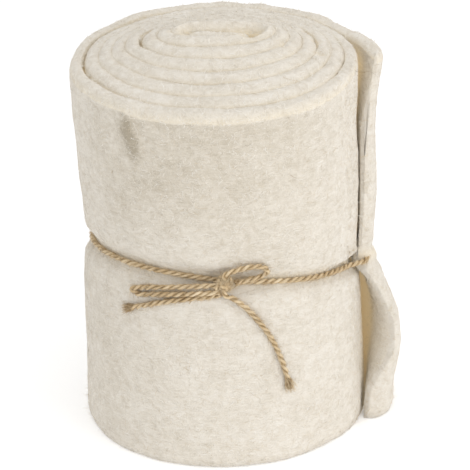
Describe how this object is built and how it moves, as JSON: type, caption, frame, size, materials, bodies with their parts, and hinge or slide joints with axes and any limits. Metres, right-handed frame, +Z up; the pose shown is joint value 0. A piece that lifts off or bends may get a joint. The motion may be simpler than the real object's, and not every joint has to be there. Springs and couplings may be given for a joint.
{
  "type": "felt roll",
  "caption": "Upright roll of thick, fuzzy wool felt band with a loose outer end, tied round its middle with a small bow of jute twine.",
  "frame": {"origin": "on the floor, at the middle of the felt's outline seen from above", "axes": "+Z up along the roll, +X to the right and +Y away as seen by someone who looks at the bow"},
  "size_m": [0.1236, 0.1068, 0.1642],
  "materials": {
    "felt": "matt, fuzzy needled wool",
    "twine": "matt, hairy twisted jute"
  },
  "bodies": {
    "root": {"felt_roll": "felt", "twine_band": "twine", "bow_loop_left": "twine", "bow_loop_right": "twine", "tail_left": "twine", "tail_right": "twine", "twine_knot": "twine"}
  },
  "joints": []
}
